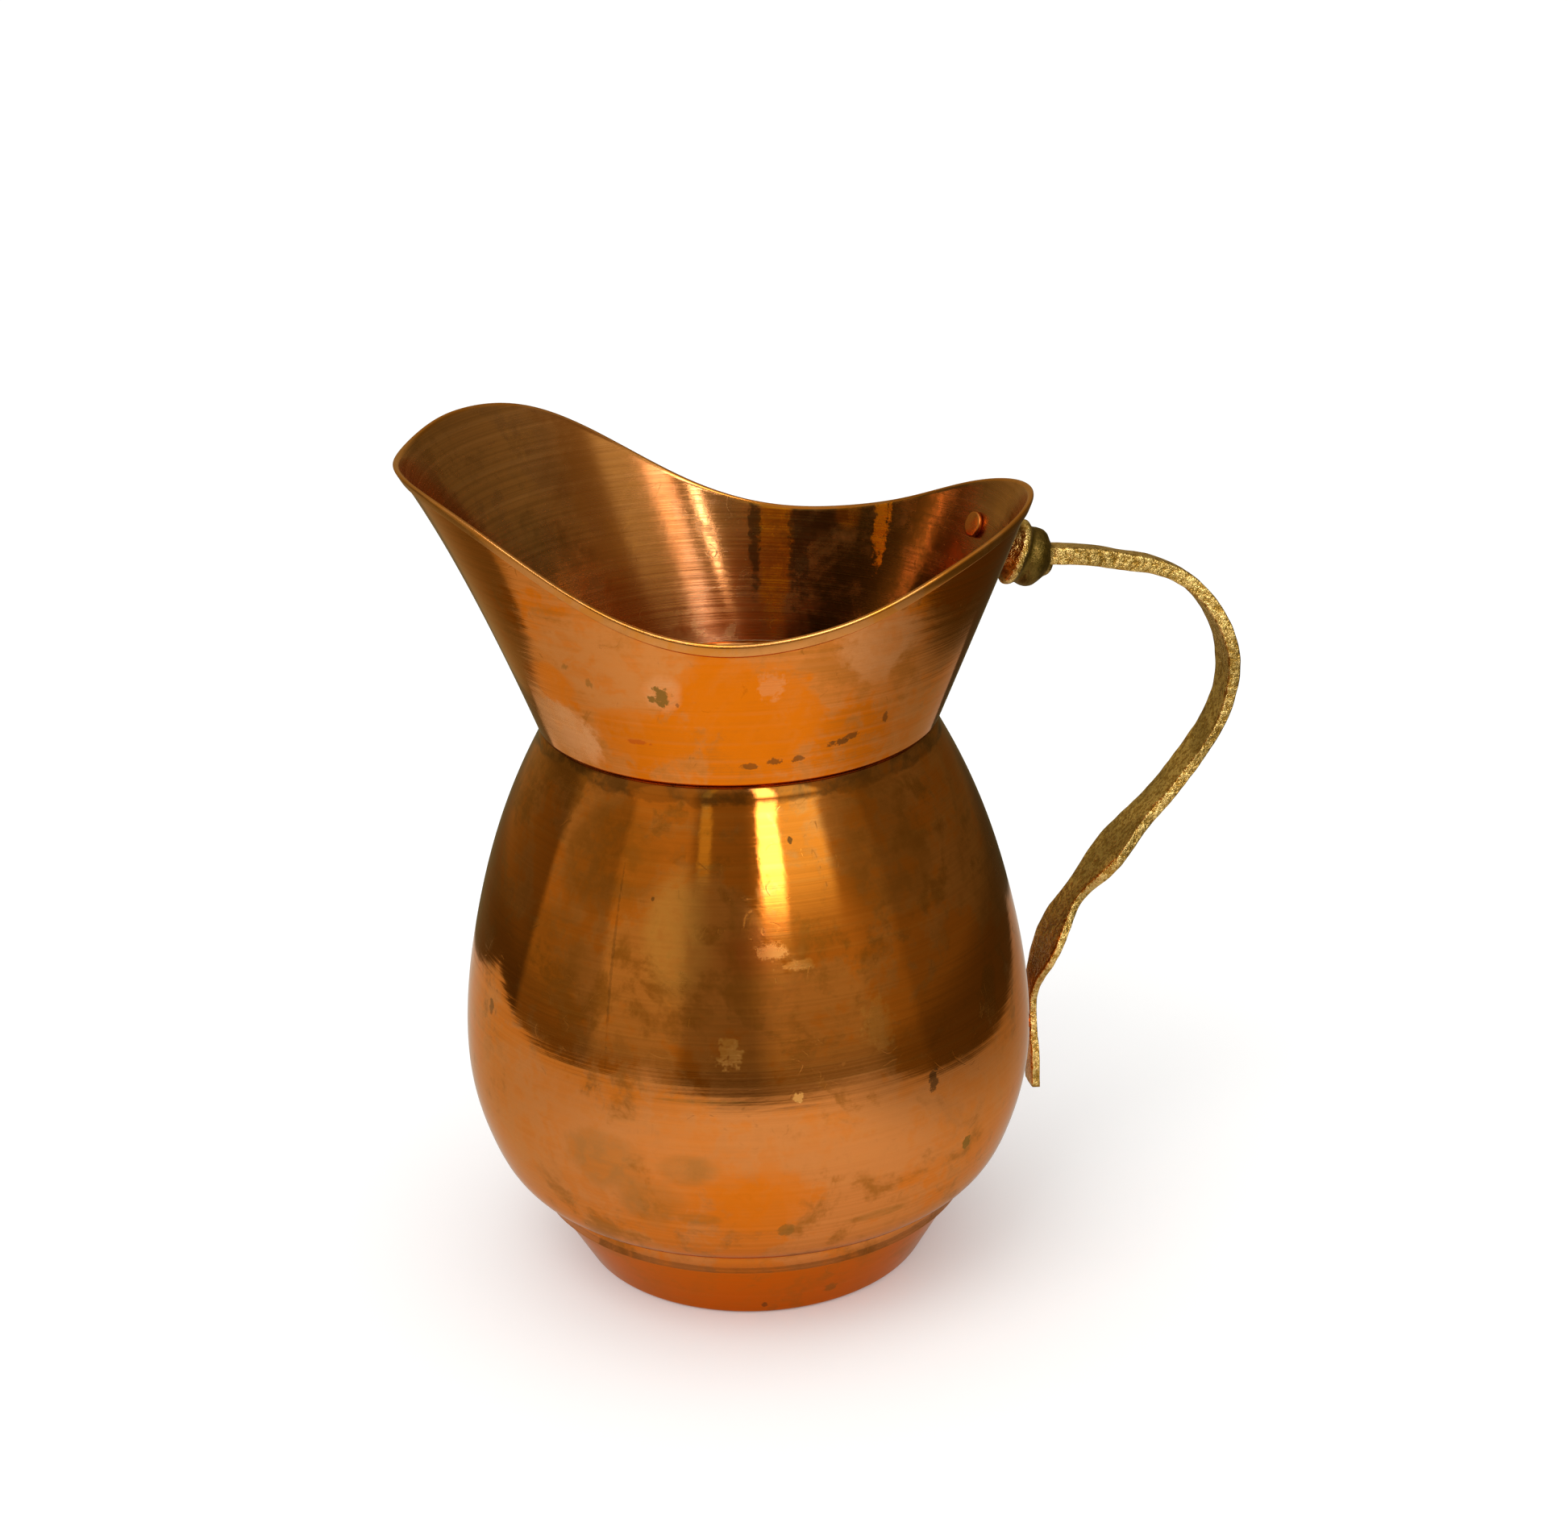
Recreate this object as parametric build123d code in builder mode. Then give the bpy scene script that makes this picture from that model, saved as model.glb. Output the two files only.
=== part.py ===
from build123d import *
from math import atan2, cos, degrees, pi, radians, sin
import os

os.makedirs("parts", exist_ok=True)

# ---- driving dimensions, mm; origin at the centre of the foot, +Z up, handle along +X ----
sheet = 0.9                 # copper sheet of the body and foot
collar_sheet = 0.8          # thinner sheet of the collar
hem_height = 2.6            # depth of the hem folded over the outside of the rim
hem_sheet = 0.5             # extra thickness of that folded strip
clearance = 0.05            # gap left where two soldered pieces would touch

foot_top_z = 15.7           # lower edge of the body skirt, where the foot ring shows
foot_top_r = 45.75
foot_bottom_r = 37.1
foot_lip = 3.5              # inward-turned lip the jug stands on
foot_inside_skirt = 3.8     # part of the foot hidden inside the skirt

skirt_r = 46.7
skirt_top = (46.9, 19.8)
# outer curve of the pear-shaped body, (radius, height)
bulb_curve = [skirt_top, (51.6, 22.4), (56.7, 31.1), (59.6, 43.0), (59.8, 55.8),
              (56.6, 76.4), (50.7, 97.0), (43.9, 112.5), (41.5, 117.0)]
neck_top = (39.95, 121.9)   # steeper neck above the bulb, its top just inside the collar

floor_z = 19.75
floor_r = 45.6
floor_fillet = 1.7          # height of the solder fillet around the floor
foot_solder_film = 0.03     # film of solder between skirt and foot
solder_gap = 0.02           # solder stops this far from the sheet beside it

collar_z = 120.7            # lower edge of the collar
collar_r = 41.2
collar_height = 60.0        # height of the untrimmed flare
collar_turn = -15.0         # the spout-to-back line of the collar stands 15 degrees off the handle

handle_low_y = -5.4         # the strap leans: its lower end is 5 mm to one side ...
handle_low_z = 45.0
handle_lean = 5.93          # ... and the plane of the strap tilts by this angle, degrees
boss_droop = 21.7           # the boss points down by this angle, square to the collar wall
boss_length = 15.2
rivet_shank_r = 1.5
rivet_head_r = 2.7
rivet_head_t = 0.9
lower_rivet_z = 46.0


def flare_radius(angle, rise):
    """Outer radius of the collar at an angle (degrees) from its back, at a rise above its lower edge."""
    a = radians(angle)
    slope = 0.283 - 0.010 * cos(a) + 0.109 * cos(2 * a) + 0.033 * cos(3 * a) - 0.009 * cos(4 * a)
    curl = (0.019 - 0.028 * cos(a)) * rise * rise / 50
    lip = 1.9 * (rise / 56) ** 5 * ((1 - cos(a)) / 2) ** 8
    return collar_r + slope * rise + curl + lip


def flare_section(rise, inset):
    """Closed oval outline of the collar at one height, as points every 15 degrees."""
    ring = []
    for step in range(24):
        angle = 15 * step
        r = flare_radius(angle, rise) - inset
        turned = radians(angle + collar_turn)
        ring.append((r * cos(turned), r * sin(turned)))
    return ring


def flare_solid(inset):
    """Solid flare, lofted through ovals; inset shrinks it, a negative inset swells it."""
    with BuildPart() as flare:
        for rise in (-2.0, 12.0, 28.0, 41.0, 51.0, collar_height):
            with BuildSketch(Plane.XY.offset(collar_z + rise)):
                with BuildLine():
                    Spline(*flare_section(rise, inset), periodic=True)
                make_face()
        loft()
    return flare.part


def inward(points, depth):
    """The same open curve moved towards the axis, square to itself, by a depth."""
    moved = []
    for i in range(len(points)):
        before = points[max(i - 1, 0)]
        after = points[min(i + 1, len(points) - 1)]
        direction = Vector(after[0] - before[0], after[1] - before[1]).normalized()
        moved.append((points[i][0] - depth * direction.Y, points[i][1] + depth * direction.X))
    return moved


# ---- body: spun pear, with a straight skirt below and a neck above ----
inner_curve = inward(bulb_curve, sheet)
with BuildPart() as body_bulb:
    with BuildSketch(Plane.XZ):
        with BuildLine():
            Line((skirt_r, foot_top_z), skirt_top)
            Spline(*bulb_curve)
            Line(bulb_curve[-1], neck_top)
            Line(neck_top, (neck_top[0] - sheet, neck_top[1]))
            Line((neck_top[0] - sheet, neck_top[1]), inner_curve[-1])
            Spline(*inner_curve)
            Line(inner_curve[0], (skirt_r - sheet, foot_top_z))
            Line((skirt_r - sheet, foot_top_z), (skirt_r, foot_top_z))
        make_face()
    revolve(axis=Axis.Z)

# ---- foot: tapered ring, its top inside the skirt, its bottom turned in as a lip ----
with BuildPart() as foot_ring:
    with BuildSketch(Plane.XZ):
        with BuildLine():
            Polyline(
                (foot_bottom_r - foot_lip, 0),
                (foot_bottom_r, 0),
                (foot_top_r, foot_top_z),
                (foot_top_r, foot_top_z + foot_inside_skirt),
                (foot_top_r - sheet, foot_top_z + foot_inside_skirt),
                (foot_top_r - sheet, foot_top_z + 0.3),
                (foot_bottom_r - 0.6, sheet),
                (foot_bottom_r - foot_lip, sheet),
                close=True,
            )
        make_face()
    revolve(axis=Axis.Z)

# ---- floor of the vessel ----
with BuildPart() as floor_disc:
    with BuildSketch(Plane.XY.offset(floor_z)):
        Circle(floor_r)
    extrude(amount=sheet)

# ---- collar: oval flare, cut to the swooping rim, with a folded hem along it ----
collar_plane = Plane(origin=(0, 0, 0), x_dir=(cos(radians(collar_turn)), sin(radians(collar_turn)), 0),
                     z_dir=(sin(radians(collar_turn)), -cos(radians(collar_turn)), 0))
# rim seen from the side: spout on the left, low saddle, raised back on the right
rim_curve = [(-71, 172.5), (-66, 176.3), (-60, 177.2), (-49.5, 174.9), (-33, 166.0), (-16.5, 156.5),
             (-5, 152.4), (6, 151.0), (18, 151.9), (32, 155.4), (46, 161.5), (63, 168.4)]
below_hem = 100.0
past_collar = 90.0          # wider than the collar on either side


def under_rim(drop):
    """Everything lying lower than the rim curve moved down by a drop."""
    lowered = [(x, z - drop) for x, z in rim_curve]
    with BuildPart() as region:
        with BuildSketch(collar_plane):
            with BuildLine():
                Spline(*lowered)
                Polyline(lowered[-1], (lowered[-1][0], below_hem), (lowered[0][0], below_hem), lowered[0])
            make_face()
        extrude(amount=past_collar, both=True)
    return region.part


with BuildPart() as hem:
    add(flare_solid(-hem_sheet))
    add(under_rim(hem_height), mode=Mode.SUBTRACT)

with BuildPart() as neck_collar:
    add(flare_solid(0))
    add(hem.part)
    add(under_rim(0), mode=Mode.INTERSECT)
    add(flare_solid(collar_sheet), mode=Mode.SUBTRACT)
    with BuildSketch(Plane.XY.offset(collar_z)):
        Circle(past_collar)
    extrude(amount=below_hem - collar_z, mode=Mode.SUBTRACT)

# ---- handle: cast strap swept in its own leaning plane, with a turned boss at the top ----
lean = radians(handle_lean)
strap_origin = Vector(0, handle_low_y - handle_low_z * sin(lean) / cos(lean), 0)
strap_up = Vector(0, sin(lean), cos(lean))
strap_side = Vector(0, -cos(lean), sin(lean))


def on_strap(x, u):
    """Point of the strap's plane: x outwards from the jug, u up the plane."""
    return strap_origin + Vector(x, 0, 0) + strap_up * u


# x, u, width, thickness of the strap along its centre line, from the boss to the tail
strap = [
    (65.0, 148.9, 6.5, 3.8), (74.0, 148.1, 6.5, 3.7), (82.5, 146.3, 6.4, 3.5), (90.8, 144.0, 6.4, 3.2),
    (97.4, 139.4, 7.7, 3.0), (101.9, 133.0, 9.6, 2.9), (104.3, 125.5, 10.5, 2.8), (103.8, 117.5, 10.4, 2.5),
    (100.9, 110.2, 10.7, 2.3), (96.3, 103.4, 10.5, 2.3), (90.7, 96.5, 10.5, 2.5), (84.7, 90.3, 11.8, 2.4),
    (79.2, 84.2, 16.0, 2.3), (74.6, 79.0, 12.6, 2.4), (70.7, 74.7, 9.6, 1.9), (67.8, 70.0, 13.2, 2.0),
    (65.3, 65.2, 15.5, 1.9), (63.2, 60.5, 13.5, 1.7), (61.4, 55.6, 7.5, 1.8), (60.8, 50.5, 5.4, 1.6),
    (60.7, 45.3, 6.4, 1.8), (60.9, 40.6, 7.2, 1.9), (60.95, 36.2, 7.2, 2.0), (60.95, 32.0, 7.0, 2.0),
]


def strap_direction(i):
    """Running direction of the strap at one station."""
    before = strap[max(i - 1, 0)]
    after = strap[min(i + 1, len(strap) - 1)]
    return (on_strap(after[0], after[1]) - on_strap(before[0], before[1])).normalized()


droop = radians(boss_droop)
boss_axis = Vector(cos(droop), -sin(droop) * sin(lean), -sin(droop) * cos(lean))
boss_foot = on_strap(52.2, 152.4)
boss_plane = Plane(origin=boss_foot, x_dir=strap_side, z_dir=boss_axis)
# distance from the wall and radius of the boss, a flared foot, a ridge, a groove and a second ring
boss_profile = [(-3.0, 6.4), (1.0, 5.8), (2.2, 4.9), (3.6, 4.8), (4.8, 5.3), (5.8, 6.1), (6.7, 6.9), (7.4, 7.0),
                (8.1, 6.7), (8.7, 6.1), (9.4, 6.0), (10.2, 6.2), (11.4, 6.2), (12.4, 5.7), (13.2, 4.7),
                (14.2, 3.4), (boss_length, 2.6)]

with BuildPart() as handle:
    for i in range(len(strap)):
        x, u, width, thickness = strap[i]
        with BuildSketch(Plane(origin=on_strap(x, u), x_dir=strap_side, z_dir=strap_direction(i))):
            RectangleRounded(width, thickness, 0.3 * thickness)
    loft()
    with BuildSketch(Plane(origin=boss_foot, x_dir=boss_axis, z_dir=strap_side)):
        with BuildLine():
            Polyline((boss_profile[0][0], 0), *boss_profile, (boss_length, 0), close=True)
        make_face()
    revolve(axis=Axis(boss_foot, boss_axis))
    add(flare_solid(-clearance), mode=Mode.SUBTRACT)

# ---- upper rivet: flat head inside the collar wall, shank through the wall into the boss foot ----
head_angle = 9.5            # degrees around the jug from the handle's +X
head_z = 154.3
head_normal_turn = 17.2     # the oval wall faces this way at the rivet
head_droop = 19.0
head_gap = 0.3              # the flat head stands off the curved wall behind it
head_r = flare_radius(head_angle - collar_turn, head_z - collar_z) - collar_sheet - head_gap
head_spot = Vector(head_r * cos(radians(head_angle)), head_r * sin(radians(head_angle)), head_z)
head_normal = Vector(cos(radians(head_droop)) * cos(radians(head_normal_turn)),
                     cos(radians(head_droop)) * sin(radians(head_normal_turn)), -sin(radians(head_droop)))
shank_grip = 6.0            # depth of the shank inside the boss
shank_end = boss_foot + boss_axis * shank_grip
shank_axis = (shank_end - head_spot).normalized()
shank_overlap = 0.3         # the shank starts this far inside its head
with BuildPart() as upper_rivet:
    with BuildSketch(Plane(origin=head_spot, z_dir=head_normal)):
        Circle(rivet_head_r)
    extrude(amount=-rivet_head_t)
    with BuildSketch(Plane(origin=head_spot - shank_axis * shank_overlap, z_dir=shank_axis)):
        Circle(rivet_shank_r)
    extrude(amount=(shank_end - head_spot).length)


def shank_hole(start, axis, length):
    """Clearance hole for a rivet shank."""
    with BuildPart() as hole:
        with BuildSketch(Plane(origin=start, z_dir=axis)):
            Circle(rivet_shank_r + clearance)
        extrude(amount=length)
    return hole.part


hole_lead = 1.0             # each hole is cut from this far inside the vessel
upper_hole = shank_hole(head_spot - shank_axis * hole_lead, shank_axis,
                        (shank_end - head_spot).length + hole_lead)

# ---- lower rivet: head inside the body wall, shank through the wall and the tail of the handle ----
tail_y = strap_origin.Y + lower_rivet_z * sin(lean) / cos(lean)
body_inner_x = 58.3
tail_outer_x = 61.6
with BuildPart() as lower_rivet:
    with BuildSketch(Plane(origin=(body_inner_x, tail_y, lower_rivet_z), z_dir=(1, 0, 0))):
        Circle(rivet_shank_r)
    extrude(amount=tail_outer_x - body_inner_x)
    with BuildSketch(Plane(origin=(body_inner_x, tail_y, lower_rivet_z), z_dir=(-1, 0, 0))):
        Circle(rivet_head_r)
    extrude(amount=rivet_head_t)
lower_hole = shank_hole(Vector(body_inner_x - hole_lead, tail_y, lower_rivet_z), Vector(1, 0, 0), shank_grip)

with BuildPart() as drilled_collar:
    add(neck_collar.part)
    add(upper_hole, mode=Mode.SUBTRACT)

with BuildPart() as drilled_handle:
    add(handle.part)
    add(upper_hole, mode=Mode.SUBTRACT)
    add(lower_hole, mode=Mode.SUBTRACT)

with BuildPart() as drilled_body:
    add(body_bulb.part)
    add(lower_hole, mode=Mode.SUBTRACT)

# ---- solder: rings between neck and collar, between skirt and foot, and around the floor ----
solder_low = collar_z + 0.1
with BuildPart() as neck_solder:
    with BuildSketch(Plane.XY.offset(solder_low)):
        Circle(past_collar)
    extrude(amount=neck_top[1] - solder_low)
    add(flare_solid(collar_sheet + solder_gap), mode=Mode.INTERSECT)
    with BuildSketch(Plane.XZ):
        with BuildLine():
            Polyline((0, bulb_curve[-1][1]), (bulb_curve[-1][0] + solder_gap, bulb_curve[-1][1]),
                     (neck_top[0] + solder_gap, neck_top[1]), (0, neck_top[1]), close=True)
        make_face()
    revolve(axis=Axis.Z, mode=Mode.SUBTRACT)

with BuildPart() as foot_solder:
    with BuildSketch(Plane.XZ):
        with Locations(((foot_top_r + skirt_r - sheet) / 2, foot_top_z + 1.9)):
            Rectangle(foot_solder_film, foot_inside_skirt - 0.4)
    revolve(axis=Axis.Z)

with BuildPart() as floor_solder:
    with BuildSketch(Plane.XZ):
        with BuildLine():
            Polyline((floor_r - 2, floor_z + sheet + solder_gap), (floor_r + 1, floor_z + sheet + solder_gap),
                     (floor_r + 3, floor_z + sheet + floor_fillet), close=True)
        make_face()
    revolve(axis=Axis.Z)
    with BuildSketch(Plane.XZ):
        with BuildLine():
            Polyline((skirt_r - sheet - solder_gap, foot_top_z),
                     *[(r - 2 * solder_gap, z) for r, z in inner_curve[:3]],
                     (past_collar, inner_curve[2][1]), (past_collar, foot_top_z), close=True)
        make_face()
    revolve(axis=Axis.Z, mode=Mode.SUBTRACT)

pieces = {
    "body_bulb": drilled_body,
    "neck_collar": drilled_collar,
    "floor_disc": floor_disc,
    "foot_ring": foot_ring,
    "handle": drilled_handle,
    "upper_rivet": upper_rivet,
    "lower_rivet": lower_rivet,
    "neck_solder": neck_solder,
    "foot_solder": foot_solder,
    "floor_solder": floor_solder,
}
for label, piece in pieces.items():
    piece.part.label = label
    export_step(piece.part, f"parts/{label}.step")
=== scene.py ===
import math

import bpy
import numpy as np
from mathutils import Matrix, Vector, noise


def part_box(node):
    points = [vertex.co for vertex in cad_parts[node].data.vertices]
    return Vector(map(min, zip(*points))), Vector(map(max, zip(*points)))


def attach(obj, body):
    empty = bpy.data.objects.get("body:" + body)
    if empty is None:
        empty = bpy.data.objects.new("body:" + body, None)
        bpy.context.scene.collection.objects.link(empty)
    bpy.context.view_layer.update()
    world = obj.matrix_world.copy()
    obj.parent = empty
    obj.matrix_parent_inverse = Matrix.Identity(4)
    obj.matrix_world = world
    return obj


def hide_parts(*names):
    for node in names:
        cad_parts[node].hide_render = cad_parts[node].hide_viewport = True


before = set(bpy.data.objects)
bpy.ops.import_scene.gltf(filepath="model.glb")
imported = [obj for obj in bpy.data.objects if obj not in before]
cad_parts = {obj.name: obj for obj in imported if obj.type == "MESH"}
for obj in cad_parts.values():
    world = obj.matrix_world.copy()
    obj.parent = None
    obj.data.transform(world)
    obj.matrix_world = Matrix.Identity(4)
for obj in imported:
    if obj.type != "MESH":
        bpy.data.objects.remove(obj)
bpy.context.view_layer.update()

MM = 0.001

# ---- sizes in millimetres, the same frame as the CAD: foot centre at the origin, handle along +X ----
SHEET = 0.9                 # copper of body and foot
COLLAR_SHEET = 0.8
HEM_HEIGHT = 2.6            # folded strip outside the rim
HEM_SHEET = 0.45
SKIRT = (46.7, 15.7)        # lower edge of the body
SKIRT_TOP = (46.9, 19.8)
BULB = [SKIRT_TOP, (51.6, 22.4), (56.7, 31.1), (59.6, 43.0), (59.8, 55.8), (56.6, 76.4), (50.7, 97.0),
        (43.9, 112.5), (41.5, 117.0)]
NECK_TOP = (39.95, 121.9)
FOOT = [(33.6, 0.0), (36.5, 0.0), (37.4, 0.7), (45.75, 15.7), (45.75, 19.5)]

COLLAR_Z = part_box("neck_collar")[0].z / MM
COLLAR_R = 41.2
COLLAR_TURN = math.radians(-15)
RIM = [(-71, 172.5), (-66, 176.3), (-60, 177.2), (-49.5, 174.9), (-33, 166.0), (-16.5, 156.5),
       (-5, 152.4), (6, 151.0), (18, 151.9), (32, 155.4), (46, 161.5), (63, 168.4)]

LEAN = math.radians(5.93)
STRAP_ORIGIN = Vector((0, -5.4 - 45.0 * math.tan(LEAN), 0))
STRAP_UP = Vector((0, math.sin(LEAN), math.cos(LEAN)))
STRAP_SIDE = Vector((0, -math.cos(LEAN), math.sin(LEAN)))
BOSS_DROOP = math.radians(21.7)
# distance along the strap's plane, height up it, width and thickness, from the boss to the tail
STRAP = [
    (65.0, 148.9, 6.5, 3.8), (74.0, 148.1, 6.5, 3.7), (82.5, 146.3, 6.4, 3.5), (90.8, 144.0, 6.4, 3.2),
    (97.4, 139.4, 7.7, 3.0), (101.9, 133.0, 9.6, 2.9), (104.3, 125.5, 10.5, 2.8), (103.8, 117.5, 10.4, 2.5),
    (100.9, 110.2, 10.7, 2.3), (96.3, 103.4, 10.5, 2.3), (90.7, 96.5, 10.5, 2.5), (84.7, 90.3, 11.8, 2.4),
    (79.2, 84.2, 16.0, 2.3), (74.6, 79.0, 12.6, 2.4), (70.7, 74.7, 9.6, 1.9), (67.8, 70.0, 13.2, 2.0),
    (65.3, 65.2, 15.5, 1.9), (63.2, 60.5, 13.5, 1.7), (61.4, 55.6, 7.5, 1.8), (60.8, 50.5, 5.4, 1.6),
    (60.7, 45.3, 6.4, 1.8), (60.9, 40.6, 7.2, 1.9), (60.95, 36.2, 7.2, 2.0), (60.95, 32.2, 7.0, 2.0),
]
BOSS = [(-0.4, 6.3), (1.0, 5.8), (2.2, 4.9), (3.6, 4.8), (4.8, 5.3), (5.8, 6.1), (6.7, 6.9), (7.4, 7.0),
        (8.1, 6.7), (8.7, 6.1), (9.4, 6.0), (10.2, 6.2), (11.4, 6.2), (12.4, 5.7), (13.2, 4.7),
        (14.2, 3.4), (15.2, 2.6)]


# ---- curves ----
def natural_spline(xs, ys):
    """Second derivatives of the natural cubic spline through the points."""
    n = len(xs)
    h = np.diff(xs)
    system = np.eye(n)
    right = np.zeros(n)
    for i in range(1, n - 1):
        system[i, i - 1:i + 2] = h[i - 1] / 6, (h[i - 1] + h[i]) / 3, h[i] / 6
        right[i] = (ys[i + 1] - ys[i]) / h[i] - (ys[i] - ys[i - 1]) / h[i - 1]
    return np.linalg.solve(system, right)


def spline_value(xs, ys, bends, at):
    """Value of the natural spline at positions inside its range; straight on beyond its ends."""
    i = np.clip(np.searchsorted(xs, at) - 1, 0, len(xs) - 2)
    h = xs[i + 1] - xs[i]
    a = np.clip((xs[i + 1] - at) / h, 0, 1)
    b = 1 - a
    curve = a * ys[i] + b * ys[i + 1]
    return curve + ((a ** 3 - a) * bends[i] + (b ** 3 - b) * bends[i + 1]) * h * h / 6


def smooth_through(points, count):
    """Evenly spaced points on a smooth curve through the given ones."""
    points = np.array(points, float)
    steps = np.linalg.norm(np.diff(points[:, :2], axis=0), axis=1)
    along = np.concatenate([[0], np.cumsum(steps)])
    at = np.linspace(0, along[-1], count)
    columns = [spline_value(along, c, natural_spline(along, c), at) for c in points.T]
    return np.stack(columns, 1)


def rounded(points, radius, steps=5):
    """The polyline with each inner corner softened over a short length."""
    points = [np.array(p, float) for p in points]
    out = [points[0]]
    for before, corner, after in zip(points, points[1:], points[2:]):
        a, b = before - corner, after - corner
        la, lb = np.linalg.norm(a), np.linalg.norm(b)
        start = corner + a / la * min(radius, la * 0.45)
        end = corner + b / lb * min(radius, lb * 0.45)
        for k in range(steps + 1):
            t = k / steps
            out.append((1 - t) ** 2 * start + 2 * t * (1 - t) * corner + t * t * end)
    out.append(points[-1])
    return np.array(out)


def inward(points, depth):
    """An open (radius, height) curve moved towards the axis, square to itself."""
    tangent = np.gradient(points, axis=0)
    tangent /= np.linalg.norm(tangent, axis=1)[:, None]
    return points + depth * np.stack([-tangent[:, 1], tangent[:, 0]], 1)


# ---- meshes ----
def skin(name, rings, close_rings, parts):
    """A smooth mesh through rings of points. parts gives the material number of each row of faces."""
    rings = np.array(rings, float) * MM
    m, n = rings.shape[:2]
    rows = m if close_rings else m - 1
    faces = []
    for i in range(rows):
        for j in range(n):
            a, b = i * n, ((i + 1) % m) * n
            faces.append((a + j, a + (j + 1) % n, b + (j + 1) % n, b + j))
    mesh = bpy.data.meshes.new(name)
    mesh.from_pydata([tuple(p) for p in rings.reshape(-1, 3)], [], faces)
    mesh.polygons.foreach_set("material_index", np.repeat(parts, n).astype(np.int32))
    mesh.polygons.foreach_set("use_smooth", np.ones(len(faces), bool))
    mesh.update()
    piece = bpy.data.objects.new(name, mesh)
    bpy.context.scene.collection.objects.link(piece)
    return piece


def turned_rings(profile, origin, axis, side, count):
    """Rings of points for a (distance along the axis, radius) profile."""
    axis = Vector(axis).normalized()
    other = axis.cross(Vector(side)).normalized()
    side = other.cross(axis)
    rings = []
    for along, radius in profile:
        ring = []
        for k in range(count):
            t = 2 * math.pi * k / count
            ring.append(Vector(origin) + axis * along + (side * math.cos(t) + other * math.sin(t)) * radius)
        rings.append(ring)
    return rings


def roughened(rings, amount, size, seed):
    """Rings moved by a little soft noise, for a hand-finished or cast surface."""
    moved = []
    for ring in rings:
        points = [Vector(p) for p in ring]
        moved.append([p + amount * noise.noise_vector(p / size + Vector((seed, 0, 0))) for p in points])
    return moved


def closed_ends(rings):
    """The rings with a small point ring at both ends, so that the skin is closed."""
    first = sum((Vector(p) for p in rings[0]), Vector()) / len(rings[0])
    last = sum((Vector(p) for p in rings[-1]), Vector()) / len(rings[-1])
    start = [first + (Vector(p) - first) * 0.02 for p in rings[0]]
    end = [last + (Vector(p) - last) * 0.02 for p in rings[-1]]
    return [start] + list(rings) + [end]


# ---- flared oval collar ----
def flare_radius(angle, rise):
    """Outer radius at an angle from the collar's back, at a rise above its lower edge."""
    slope = (0.283 - 0.010 * np.cos(angle) + 0.109 * np.cos(2 * angle) + 0.033 * np.cos(3 * angle)
             - 0.009 * np.cos(4 * angle))
    curl = (0.019 - 0.028 * np.cos(angle)) * rise * rise / 50
    lip = 1.9 * (rise / 56) ** 5 * ((1 - np.cos(angle)) / 2) ** 8
    return COLLAR_R + slope * rise + curl + lip


rim_x, rim_z = (np.array(c, float) for c in zip(*RIM))
rim_bends = natural_spline(rim_x, rim_z)


def rim_rise(angle):
    """Rise at which the flare meets the rim curve seen from the side."""
    low, high = np.zeros_like(angle), np.full_like(angle, 60.0)
    for _ in range(40):
        middle = (low + high) / 2
        x = flare_radius(angle, middle) * np.cos(angle)
        under = COLLAR_Z + middle < spline_value(rim_x, rim_z, rim_bends, x)
        low, high = np.where(under, middle, low), np.where(under, high, middle)
    return low


def collar_ring(angle, rise, inset):
    """Ring of points at given rises, one for each angle, moved in from the outside by inset."""
    r = flare_radius(angle, rise) - inset
    turned = angle + COLLAR_TURN
    return np.stack([r * np.cos(turned), r * np.sin(turned), COLLAR_Z + rise], 1)


def make_collar():
    count = 360
    angle = np.linspace(0, 2 * math.pi, count, endpoint=False)
    top = rim_rise(angle)
    rings, parts = [], []
    for t in np.linspace(0, 1, 70):
        rings.append(collar_ring(angle, t * (top - HEM_HEIGHT - 0.25), 0))
        parts.append(0)
    fold = [(-HEM_HEIGHT - 0.05, 0), (-HEM_HEIGHT, -0.2), (-HEM_HEIGHT + 0.25, -HEM_SHEET), (-1.4, -HEM_SHEET),
            (-0.55, -HEM_SHEET + 0.02), (-0.2, -HEM_SHEET + 0.14), (-0.04, -HEM_SHEET + 0.38),
            (0, 0.15), (-0.04, 0.45), (-0.2, 0.68), (-0.5, COLLAR_SHEET)]
    for drop, inset in rounded(fold, 0.15, 2):
        rings.append(collar_ring(angle, top + drop, inset))
        parts.append(1)
    parts[-1] = 2
    for t in np.linspace(1, 0, 60)[1:]:
        rings.append(collar_ring(angle, t * (top - 0.5), COLLAR_SHEET))
        parts.append(2)
    return skin("collar", rings, True, parts)


# ---- pear-shaped body and foot ----
def make_body():
    bulb = smooth_through(BULB, 110)
    outside = np.concatenate([rounded([SKIRT, SKIRT_TOP, bulb[2]], 0.9), bulb[3:-3],
                              rounded([bulb[-3], BULB[-1], NECK_TOP], 0.8)])
    inside = inward(outside, SHEET)[::-1]
    profile = [(z, r) for r, z in np.concatenate([outside, inside])]
    rings = turned_rings(profile, (0, 0, 0), (0, 0, 1), (1, 0, 0), 300)
    parts = [0] * len(outside) + [1] * (len(inside) - 1) + [0]
    return skin("body", rings, True, parts)


def make_foot():
    outside = rounded(FOOT, 0.5)
    inside = inward(outside, SHEET)[::-1]
    profile = [(z, r) for r, z in np.concatenate([outside, inside])]
    rings = turned_rings(profile, (0, 0, 0), (0, 0, 1), (1, 0, 0), 240)
    return skin("foot", rings, True, [0] * (2 * len(outside)))


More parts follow.
